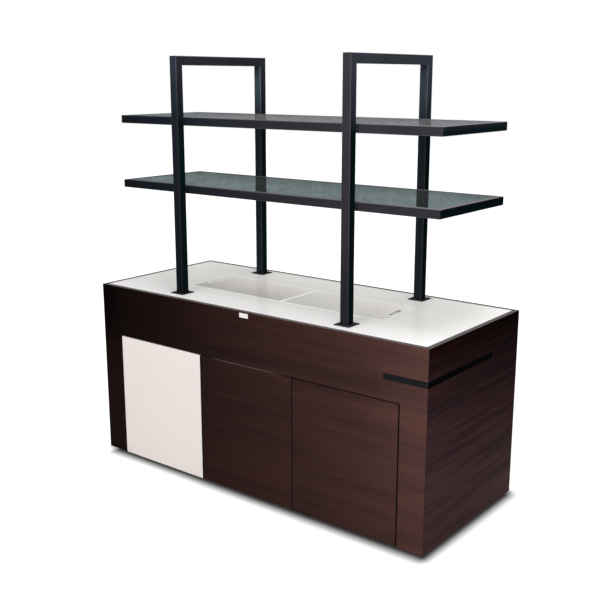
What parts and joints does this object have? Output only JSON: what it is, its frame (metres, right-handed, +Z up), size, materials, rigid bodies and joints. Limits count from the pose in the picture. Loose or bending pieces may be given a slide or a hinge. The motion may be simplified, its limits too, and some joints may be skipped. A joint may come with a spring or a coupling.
{
  "type": "back bar",
  "caption": "Back bar cabinet with flush push-open doors, a white top with lift-off lids over wells, and square-tube hoops carrying framed glass shelves.",
  "frame": {"origin": "on the floor under the middle of the cabinet", "axes": "+X along the front to the right as seen from the front, front faces -Y, +Z up"},
  "size_m": [2.0005, 0.8313, 2.095],
  "materials": {
    "dark_laminate": "dark brown streaked laminate, semi-gloss",
    "white_laminate": "white laminate, semi-gloss",
    "white_top": "white gloss laminate",
    "inner_board": "pale melamine, matt",
    "raw_timber": "planed timber",
    "black_tube": "satin charcoal powder coat",
    "black_plate": "satin charcoal powder coat",
    "black_strip": "satin black",
    "label": "white, blank",
    "tinted_glass": "grey-green tinted, polished",
    "stainless": "brushed",
    "zinc_steel": "zinc plated",
    "grey_plastic": "moulded",
    "black_rubber": "matt"
  },
  "bodies": {
    "cabinet": {"back_left_base_plate": "black_plate", "back_left_foot": "grey_plastic", "back_left_post": "black_tube", "back_panel": "dark_laminate", "back_right_base_plate": "black_plate", "back_right_foot": "grey_plastic", "back_right_post": "black_tube", "back_top_bearer": "raw_timber", "bay_ceiling": "inner_board", "bay_divider": "inner_board", "bottom_board": "inner_board", "corner_strip": "black_strip", "countertop": "white_top", "front_frame": "dark_laminate", "front_left_base_plate": "black_plate", "front_left_foot": "grey_plastic", "front_left_post": "black_tube", "front_right_base_plate": "black_plate", "front_right_foot": "grey_plastic", "front_right_post": "black_tube", "front_top_bearer": "raw_timber", "label_plate": "label", "left_bay_side": "inner_board", "left_end_panel": "dark_laminate", "left_top_bar": "black_tube", "left_well": "stainless", "lower_back_rail": "black_tube", "lower_front_rail": "black_tube", "lower_glass": "tinted_glass", "lower_left_rail": "black_tube", "lower_right_rail": "black_tube", "middle_latch": "grey_plastic", "middle_lower_hinge": "zinc_steel", "middle_upper_hinge": "zinc_steel", "right_bay_side": "inner_board", "right_end_panel": "dark_laminate", "right_latch": "grey_plastic", "right_lower_hinge": "zinc_steel", "right_top_bar": "black_tube", "right_upper_hinge": "zinc_steel", "right_well": "stainless", "small_bay_shelf": "inner_board", "upper_back_rail": "black_tube", "upper_front_rail": "black_tube", "upper_glass": "tinted_glass", "upper_left_rail": "black_tube", "upper_right_rail": "black_tube", "white_latch": "grey_plastic", "white_lower_hinge": "zinc_steel", "white_upper_hinge": "zinc_steel", "wide_bay_shelf": "inner_board"},
    "white_door": {"white_door": "white_laminate"},
    "middle_door": {"middle_door": "dark_laminate"},
    "right_door": {"right_door": "dark_laminate"},
    "white_latch_plunger": {"white_latch_plunger": "black_rubber"},
    "middle_latch_plunger": {"middle_latch_plunger": "black_rubber"},
    "right_latch_plunger": {"right_latch_plunger": "black_rubber"},
    "left_lid": {"left_lid": "white_top"},
    "right_lid": {"right_lid": "white_top"}
  },
  "joints": [
    {"name": "white_door_hinge", "type": "hinge", "parent": "cabinet", "child": "white_door", "pos_m": [-0.8457, -0.404, 0.006], "axis": [0, 0, -1], "range_deg": [0, 95]},
    {"name": "middle_door_hinge", "type": "hinge", "parent": "cabinet", "child": "middle_door", "pos_m": [-0.269, -0.404, 0.006], "axis": [0, 0, -1], "range_deg": [0, 95]},
    {"name": "right_door_hinge", "type": "hinge", "parent": "cabinet", "child": "right_door", "pos_m": [0.8457, -0.404, 0.006], "axis": [0, 0, 1], "range_deg": [0, 95]},
    {"name": "white_latch_push", "type": "slide", "parent": "cabinet", "child": "white_latch_plunger", "axis": [0, 1, 0], "range_m": [0, 0.004], "stiffness_N_per_m": 300, "springref_m": -0.01},
    {"name": "middle_latch_push", "type": "slide", "parent": "cabinet", "child": "middle_latch_plunger", "axis": [0, 1, 0], "range_m": [0, 0.004], "stiffness_N_per_m": 300, "springref_m": -0.01},
    {"name": "right_latch_push", "type": "slide", "parent": "cabinet", "child": "right_latch_plunger", "axis": [0, 1, 0], "range_m": [0, 0.004], "stiffness_N_per_m": 300, "springref_m": -0.01},
    {"name": "left_lid_lift", "type": "slide", "parent": "cabinet", "child": "left_lid", "axis": [0, 0, 1], "range_m": [0, 0.25]},
    {"name": "right_lid_lift", "type": "slide", "parent": "cabinet", "child": "right_lid", "axis": [0, 0, 1], "range_m": [0, 0.25]}
  ]
}
